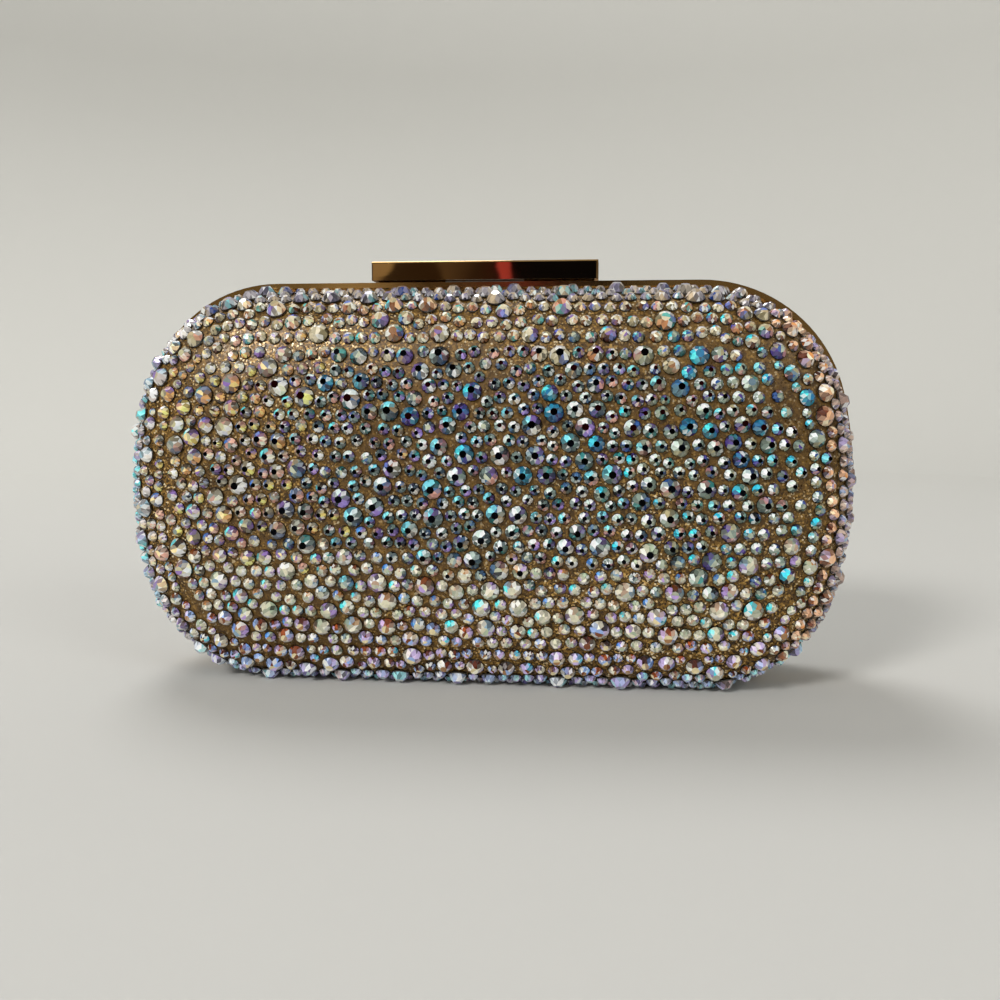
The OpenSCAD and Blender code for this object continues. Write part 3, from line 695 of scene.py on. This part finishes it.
def side_tones(rng, zone, turn):
    """A colour for each eighth of a crystal that is turned by an angle."""
    tones = [pick(rng, zone["body"]) for _ in range(SIDES)]
    # Painted reflections: the facets that face a lobe's way take its colour
    for direction, half_width, chance, colours in zone["reflection_lobes"]:
        if rng.random() >= chance:
            continue
        tone = pick(rng, colours)
        aim = direction + rng.normal(0, LOBE_BLUR)
        for k in range(SIDES):
            faces_to = math.degrees(turn) + (k + 0.5) * 360 / SIDES
            off = abs((faces_to - aim + 180) % 360 - 180)
            if off < half_width * rng.uniform(*LOBE_WIDTH_SHARES):
                tones[k] = tone * rng.uniform(*LOBE_TONE_SHARES)
    return tones


def table_tones(rng, zone, pupil, red):
    """A colour for each eighth of the table: one painted dark reflection, or two tones that meet at a
    fold.
    """
    if pupil:
        dark = pick(rng, RED_PUPIL_REFLECTIONS if red else PUPIL_REFLECTIONS)
        return [dark * rng.uniform(*PUPIL_TONE_SHARES) for _ in range(SIDES)]
    pair = [pick(rng, zone["table"]), pick(rng, zone["table"] + zone["body"])]
    fold = rng.integers(0, SIDES)
    halves = [pair[(k - fold) % SIDES < SIDES // 2] for k in range(SIDES)]
    return [tone * rng.uniform(*TABLE_TONE_SHARES) for tone in halves]


def painted_glint_or_dark(rng, colour, chance):
    """The colour, or now and then a painted near-white glint or a painted near-black reflection instead.
    """
    draw = rng.random()
    if draw < chance:
        return OWN_SHARE * colour + PAINTED_GLINT_SHARE * PAINTED_GLINT
    return colour * DARK_REFLECTION_SHARE if draw > 1 - chance else colour


def facet_colours(rng, zone, turn, pupil, red):
    """An RGBA colour for each face of a crystal; its alpha is the facet's gloss."""
    sides = side_tones(rng, zone, turn)
    table = table_tones(rng, zone, pupil, red)
    # Painted contact shade for the girdle walls and the back
    girdle = GIRDLE_SHADE * rng.uniform(*GIRDLE_SHADE_SHARES)
    out = []
    for kind, k in CUT_KINDS:
        if kind == "table":
            colour = table[k]
        elif kind in FACETS:
            low, high, chance = FACETS[kind]
            colour = sides[k]
            if kind == "kite":
                colour = KITE_SHARES[0] * sides[k] + KITE_SHARES[1] * sides[(k - 1) % SIDES]
            # A few facets get a painted glint or a painted dark reflection
            colour = painted_glint_or_dark(rng, colour * rng.uniform(low, high), chance)
        else:
            colour = girdle
        gloss = 0.0 if pupil and kind == "table" else 1.0
        out.append((*np.clip(colour, 0.0, 1.0), gloss))
    return out


def placed_crystal(rng, crystal, side):
    """Vertices and face colours of one crystal; side is -1 at the front and 1 at the back."""
    foot, normal, r = crystal[:3], crystal[3:6] / np.linalg.norm(crystal[3:6]), crystal[6]
    across = -side * foot[0] / (CASE_W / 2 * MM)
    up = (foot[2] - CASE_H / 2 * MM) / (CASE_H / 2 * MM)
    zone = zone_of(rng, across, up, -side * normal[0], normal[2], r > BIG_R)
    if side > 0 and zone.endswith("_end"):
        zone = "back_end"
    pupil = rng.random() < pupil_chance(across, up)
    red = up > RED_UP and rng.random() < RED_CHANCE
    turn = rng.uniform(0, 2 * math.pi / SIDES)
    x, y = CUT_VERTS[:, 0], CUT_VERTS[:, 1]
    place = CUT_VERTS.copy()
    place[:, 0] = math.cos(turn) * x - math.sin(turn) * y
    place[:, 1] = math.sin(turn) * x + math.cos(turn) * y
    # The painted dark reflection sits on a smaller table, shifted with the crystal's place
    if pupil:
        shift = np.array((PUPIL_SHIFT[0] * across, PUPIL_SHIFT[1] * (up - PUPIL_LEVEL_UP)))
        place[: 1 + SIDES, :2] *= PUPIL_SIZE
        place[: 1 + SIDES, :2] += shift + rng.normal(0, PUPIL_JITTER, 2)
    # The crystal's own axes: one level, one up its seat and its normal
    level = np.cross((0, 0, 1), normal)
    length = np.linalg.norm(level)
    level = level / length if length > LEVEL_LIMIT else np.array((-side, 0.0, 0.0))
    rise = np.cross(normal, level)
    verts = foot + r * (place[:, :1] * level + place[:, 1:2] * rise + place[:, 2:] * normal)
    return verts, facet_colours(rng, ZONES[zone], turn, pupil, red)


def crystal_piece(name, side, seed):
    """The cut crystals of one CAD node as one mesh."""
    rng = np.random.default_rng(seed)
    verts, faces, colours = [], [], []
    for crystal in crystals_of(name):
        first = len(verts) * len(CUT_VERTS)
        points, tones = placed_crystal(rng, crystal, side)
        verts.append(points)
        faces += [tuple(first + i for i in face) for face in CUT_FACES]
        colours += tones
    piece = add_mesh(name + "_cut", np.concatenate(verts).tolist(), faces, CRYSTAL)
    paint(piece, "facet", "CORNER", np.repeat(colours, [len(face) for face in faces], axis=0))
    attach(piece, "front_half" if side < 0 else "back_half")
    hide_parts(name)


FIRST_SEED, GROUP_STEP, HALF_STEP = 3, 10, 100
for number, (half, side) in enumerate(HALVES):
    for size, group in enumerate(("large", "medium", "small", "base")):
        seed = FIRST_SEED + GROUP_STEP * size + HALF_STEP * number
        crystal_piece(f"{half}_crystals_{group}", side, seed)

# Fabric and lining, a hair thinner than their CAD solids, to stay clear of what they lie on.
# Their flat sizes are the laid-out surface of one half
COVER_CLEAR, LINING_CLEAR = 0.05, 0.03
LINING_OUT = COVER_T + SHELL_T + BOARD_T + 3 * GLUE_GAP
for half, side in HALVES:
    cover = half_sheet(f"{half}_cover_fabric", side, 0.0, COVER_T - COVER_CLEAR, FABRIC)
    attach(cover, half + "_half")
    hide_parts(half + "_cover")
    layers = (LINING_OUT + LINING_CLEAR, LINING_OUT + LINING_T - LINING_CLEAR)
    lining = half_sheet(f"{half}_lining_satin", side, *layers, SATIN)
    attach(lining, half + "_half")
    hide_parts(half + "_lining")


def coat(mesh, material):
    """Gives a whole mesh one material."""
    mesh.materials.clear()
    mesh.materials.append(material)


# Leaf spring, which the rocking bar presses down: a steel copy of the CAD spring, with a mesh of its own
leaf = add_object("clasp_spring_leaf", nodes["clasp_spring"].data.copy())
coat(leaf.data, STEEL)
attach(leaf, "back_half")
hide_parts("clasp_spring")
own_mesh(leaf)

# Carried-over CAD nodes
FINISH = {
    "back_rim": GOLD,
    "front_rim": GOLD,
    "clasp_plate": GOLD,
    "clasp_rivets": GOLD,
    "clasp_bar": BAR_GOLD,
    "strike_plate": STEEL,
    "strike_rivets": STEEL,
    "hinge_pins": STEEL,
    "clasp_pin": STEEL,
    "back_shell": SHELL,
    "front_shell": SHELL,
    "back_board": BOARD,
    "front_board": BOARD,
}
for name, material in FINISH.items():
    coat(nodes[name].data, material)

# The metal's sharp edges are broken by these widths in millimetres, so that they catch the
# light as fine lines
BROKEN_EDGES = {
    "front_rim": 0.12,
    "back_rim": 0.12,
    "clasp_bar": 0.045,
    "clasp_plate": 0.05,
    "strike_plate": 0.03,
}
WELD_GAP, SHARP_ANGLE, FLAT_WEIGHT = 0.001 * MM, math.radians(35), 90
for name, width in BROKEN_EDGES.items():
    nodes[name].modifiers.new("weld", "WELD").merge_threshold = WELD_GAP
    bevel = nodes[name].modifiers.new("broken_edges", "BEVEL")
    bevel.width = width * MM
    bevel.segments = 2
    bevel.limit_method = "ANGLE"
    bevel.angle_limit = SHARP_ANGLE
    nodes[name].modifiers.new("flat_faces", "WEIGHTED_NORMAL").weight = FLAT_WEIGHT


# Stage
def revolved(path, sides):
    """Points of the rings that the [radius, height] steps of a path make round the Z axis."""
    angles = [2 * math.pi * i / sides for i in range(sides)]
    return [(r * math.cos(a), r * math.sin(a), z) for r, z in path for a in angles]


def bands(rings, sides, first=0):
    """The corners of the quads between the rings, whose points are numbered from first."""
    for k in range(rings - 1):
        for i in range(sides):
            a, b = first + k * sides + i, first + k * sides + (i + 1) % sides
            yield a, b, b + sides, a + sides


CUT_RISE = 20 * MM  # how far above the front half its opening in the floor reaches


def give_way(floor):
    """Opens the floor over the front half where it swings below it; at rest nothing is cut."""
    tree = bpy.data.node_groups.new("give_way", "GeometryNodeTree")
    for way in ("INPUT", "OUTPUT"):
        tree.interface.new_socket("Geometry", in_out=way, socket_type="NodeSocketGeometry")
    kinds = ("ObjectInfo", "ObjectInfo", "JoinGeometry", "ConvexHull")
    rim, cover, parts, hull = [tree.nodes.new("GeometryNode" + kind) for kind in kinds]
    kinds = ("Transform", "JoinGeometry", "ConvexHull", "MeshBoolean")
    lift, both, block, cut = [tree.nodes.new("GeometryNode" + kind) for kind in kinds]
    start, end = tree.nodes.new("NodeGroupInput"), tree.nodes.new("NodeGroupOutput")
    for info, name in ((rim, "front_rim"), (cover, "front_cover")):
        info.transform_space = "RELATIVE"
        info.inputs["Object"].default_value = nodes[name]
    lift.inputs["Translation"].default_value = (0, 0, CUT_RISE)
    cut.operation = "DIFFERENCE"
    for a, b in (
        (rim.outputs["Geometry"], parts.inputs[0]),
        (cover.outputs["Geometry"], parts.inputs[0]),
        (parts.outputs[0], hull.inputs[0]),
        (hull.outputs[0], lift.inputs["Geometry"]),
        (hull.outputs[0], both.inputs[0]),
        (lift.outputs[0], both.inputs[0]),
        (both.outputs[0], block.inputs[0]),
        (start.outputs[0], cut.inputs[0]),
        (block.outputs[0], cut.inputs[1]),
        (cut.outputs[0], end.inputs[0]),
    ):
        tree.links.new(a, b)
    floor.modifiers.new("give_way", "NODES").node_group = tree


# Floor and backdrop, in metres: a slab, flat in the middle, that curves up into a round wall
INNER_R, FLAT_R, CURVE_R, CURVE_STEPS, FLOOR_SIDES = 0.3, 0.7, 0.5, 12, 96
BACKDROP_R, BACKDROP_H, SLAB_T, UNDERSIDE_Z = FLAT_R + CURVE_R, 1.6, 0.1, -0.06
FLOOR_GAP = 0.02 * MM


def pale_stage():
    """A pale thick floor that curves up into a round backdrop."""
    path = [(INNER_R, 0.0), (FLAT_R, 0.0)]
    for i in range(1, CURVE_STEPS + 1):
        a = i / CURVE_STEPS * math.pi / 2
        path.append((FLAT_R + CURVE_R * math.sin(a), CURVE_R - CURVE_R * math.cos(a)))
    outside_r = BACKDROP_R + SLAB_T
    path += [(BACKDROP_R, BACKDROP_H), (outside_r, BACKDROP_H), (outside_r, UNDERSIDE_Z)]
    verts = [(0, 0, 0)] + revolved(path, FLOOR_SIDES)
    faces = [(0, 1 + i, 1 + (i + 1) % FLOOR_SIDES) for i in range(FLOOR_SIDES)]
    faces += [(a, d, c, b) for a, b, c, d in bands(len(path), FLOOR_SIDES, first=1)]
    faces.append(tuple(len(verts) - 1 - i for i in range(FLOOR_SIDES)))
    g = Graph("pale_cloth", Roughness=1.0, Specular_IOR_Level=0.0)
    far = g.node("ShaderNodeVectorMath", operation="LENGTH")
    g.link(g.place(), far.inputs[0])
    g.feed("Base Color", g.ramp(far.outputs["Value"], [(0.15, srgb("bbbab6")), (0.7, srgb("bdbcb7"))]))
    floor = add_mesh("floor", verts, faces, g.material)
    for p in floor.data.polygons:
        p.use_smooth = p.center.z > MM
    floor.location.z = min(cad_box[0].z, 0.0) - FLOOR_GAP
    # The key and the fill lamp stand outside the backdrop and shine through it
    floor.visible_shadow = False
    give_way(floor)


pale_stage()


def glow_card(name, verts, faces, colours):
    """A card that only mirror-like surfaces see, with a colour at each vertex."""
    material = bpy.data.materials.new(name)
    material.use_nodes = True
    tree = material.node_tree
    tree.nodes.clear()
    colour = tree.nodes.new("ShaderNodeVertexColor")
    colour.layer_name = "glow"
    emission = tree.nodes.new("ShaderNodeEmission")
    out = tree.nodes.new("ShaderNodeOutputMaterial")
    tree.links.new(colour.outputs["Color"], emission.inputs["Color"])
    tree.links.new(emission.outputs["Emission"], out.inputs["Surface"])
    card = add_mesh(name, verts, faces, material)
    paint(card, "glow", "POINT", [(*c, 1.0) for c in colours])
    card.visible_camera = card.visible_diffuse = card.visible_shadow = False
    card.visible_transmission = card.visible_volume_scatter = False


# A dim funnel round the case: [radius, height, brightness] of its rings, in metres
ROOM_SIDES, ROOM_TINT = 72, (1.0, 0.9, 0.8)
ROOM = [(0.66, 0.0, 0.16), (0.67, 0.2, 0.12), (1.15, 0.36, 0.06), (1.15, 0.5, 0.06), (1.15, 0.62, 0.25)]


def dim_room():
    """The funnel that metal and crystals mirror, and nothing else sees."""
    verts = revolved([(r, z) for r, z, tone in ROOM], ROOM_SIDES)
    colours = [[tone * tint for tint in ROOM_TINT] for r, z, tone in ROOM for _ in range(ROOM_SIDES)]
    glow_card("dim_room", verts, list(bands(len(ROOM), ROOM_SIDES)), colours)


# What the bar's front mirrors, from its left end to its right:
# [share of the length at the lower edge, share at the upper edge, colour]
MIRRORED = [
    (-0.2, -0.2, (0.45, 0.4, 0.34)),
    (0.008, 0.008, (0.4, 0.35, 0.3)),
    (0.03, 0.012, (0.1, 0.08, 0.065)),
    (0.045, 0.02, (0.3, 0.25, 0.2)),
    (0.085, 0.11, (0.28, 0.23, 0.17)),
    (0.1, 0.14, (0.035, 0.026, 0.02)),
    (0.3, 0.27, (0.03, 0.018, 0.012)),
    (0.36, 0.3, (0.085, 0.062, 0.045)),
    (0.44, 0.42, (0.05, 0.033, 0.024)),
    (0.48, 0.47, (0.03, 0.018, 0.013)),
    (0.56, 0.52, (0.03, 0.014, 0.012)),
    (0.6, 0.555, (0.012, 0.008, 0.01)),
    (0.62, 0.575, (0.42, 0.07, 0.1)),
    (0.67, 0.66, (0.36, 0.06, 0.09)),
    (0.69, 0.685, (0.004, 0.004, 0.006)),
    (1.2, 1.2, (0.002, 0.002, 0.004)),
]
# Place of the card along Y in metres, and how many times the bar's height it reaches
CARD_Y, CARD_REACH = -0.6, 8


def bar_mirror(eye_at):
    """A small card where the bar's front face sends the line of sight from eye_at."""
    half_l, half_h = BAR_HALF_L * MM, BAR_HALF_H * MM
    front_y, middle_z = BAR_FRONT_Y * MM, BAR_MIDDLE_Z * MM
    away = (front_y - CARD_Y) / (front_y - eye_at[1])
    reach = half_h * (1 + away)
    at_z = middle_z + (middle_z - eye_at[2]) * away
    verts, colours, faces = [], [], []
    for low, high, colour in MIRRORED:
        for share, dz in ((low, -CARD_REACH), (low, -1), (high, 1), (high, CARD_REACH)):
            x = (2 * share - 1) * half_l
            verts.append((x + (x - eye_at[0]) * away, CARD_Y, at_z + dz * reach))
            colours.append(colour)
    rows = len(verts) // len(MIRRORED)
    for i in range(len(MIRRORED) - 1):
        for k in range(rows - 1):
            a = rows * i + k
            faces.append((a, a + rows, a + rows + 1, a + 1))
    glow_card("bar_mirror", verts, faces, colours)


# Light: name, place and diameter of a lamp in metres, its watts and its colour. The lamps aim at
# the middle of the case
LAMPS = [
    ("key", (-1.0, -1.6, 1.3), 0.6, 33, (1.0, 0.99, 0.975)),
    ("fill", (1.5, -1.3, 1.2), 0.9, 9, (0.96, 0.98, 1.0)),
    ("top", (-0.6, 0.9, 1.8), 0.9, 21, (1.0, 1.0, 1.0)),
]
MIDDLE, ROOM_LIGHT = Vector((0, 0, 0.045)), 0.28
for name, place, diameter, watts, colour in LAMPS:
    data = bpy.data.lights.new(name, "AREA")
    data.shape = "DISK"
    data.size = diameter
    data.energy = watts
    data.color = colour
    lamp = add_object(name, data)
    lamp.location = place
    lamp.rotation_euler = (MIDDLE - Vector(place)).to_track_quat("-Z", "Y").to_euler()
dim_room()

world = bpy.data.worlds.new("room")
world.use_nodes = True
world.node_tree.nodes["Background"].inputs["Color"].default_value = grey(1.0)
world.node_tree.nodes["Background"].inputs["Strength"].default_value = ROOM_LIGHT
scene.world = world
scene.view_settings.view_transform = "Standard"

# Camera, fitted to the photograph: its angles, then distance and target in metres, then the
# sensor's width in millimetres and the lens in widths of the sensor
AZIMUTH, ELEVATION, ROLL = math.radians(6.0), math.radians(6.0), math.radians(0.1)
DISTANCE, TARGET = 0.2365, Vector((0.0033, 0.0, 0.0407))
SENSOR, LENS_SHARE = 36, 1.002
camera = bpy.data.cameras.new("camera")
camera.sensor_width = SENSOR
camera.lens = SENSOR * LENS_SHARE
camera.clip_start = 5 * MM
eye = add_object("camera", camera)
towards_eye = Vector(
    (
        math.sin(AZIMUTH) * math.cos(ELEVATION),
        -math.cos(AZIMUTH) * math.cos(ELEVATION),
        math.sin(ELEVATION),
    )
)
aim = (-towards_eye).to_track_quat("-Z", "Y").to_matrix()
eye.location = TARGET + towards_eye * DISTANCE
eye.rotation_euler = (aim @ Matrix.Rotation(ROLL, 3, "Z")).to_euler()
scene.camera = eye
bar_mirror(eye.location)

bpy.context.view_layer.update()
